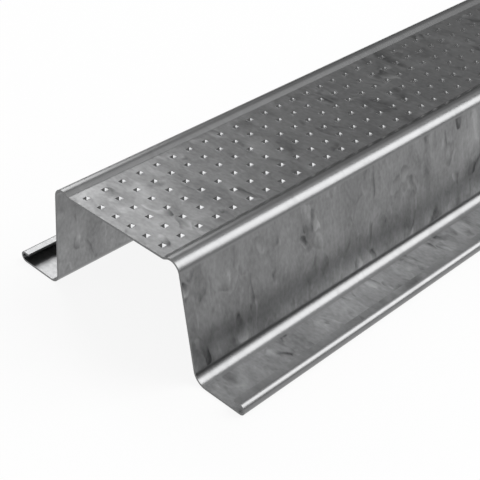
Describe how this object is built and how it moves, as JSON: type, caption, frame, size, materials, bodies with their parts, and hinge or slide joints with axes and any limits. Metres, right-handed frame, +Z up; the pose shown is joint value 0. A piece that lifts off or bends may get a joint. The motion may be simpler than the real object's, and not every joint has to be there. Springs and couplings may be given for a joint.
{
  "type": "metal ceiling batten",
  "caption": "Cold-rolled zinc-coated steel ceiling batten of top-hat section, with a recessed knurled crown for lining boards, splayed webs and flanges with rolled-back lips.",
  "frame": {"origin": "on the floor, below the middle of the batten: centre of the width and of the length, at the underside of the flanges", "axes": "+X across the section, +Y along the length, +Z up from the flanges to the crown"},
  "size_m": [0.0638, 2.4, 0.024],
  "materials": {
    "zinc_coated_steel": "hot-dip zinc coat, semi-bright, with faint soft mottling"
  },
  "bodies": {
    "root": {"ceiling_batten": "zinc_coated_steel"}
  },
  "joints": []
}
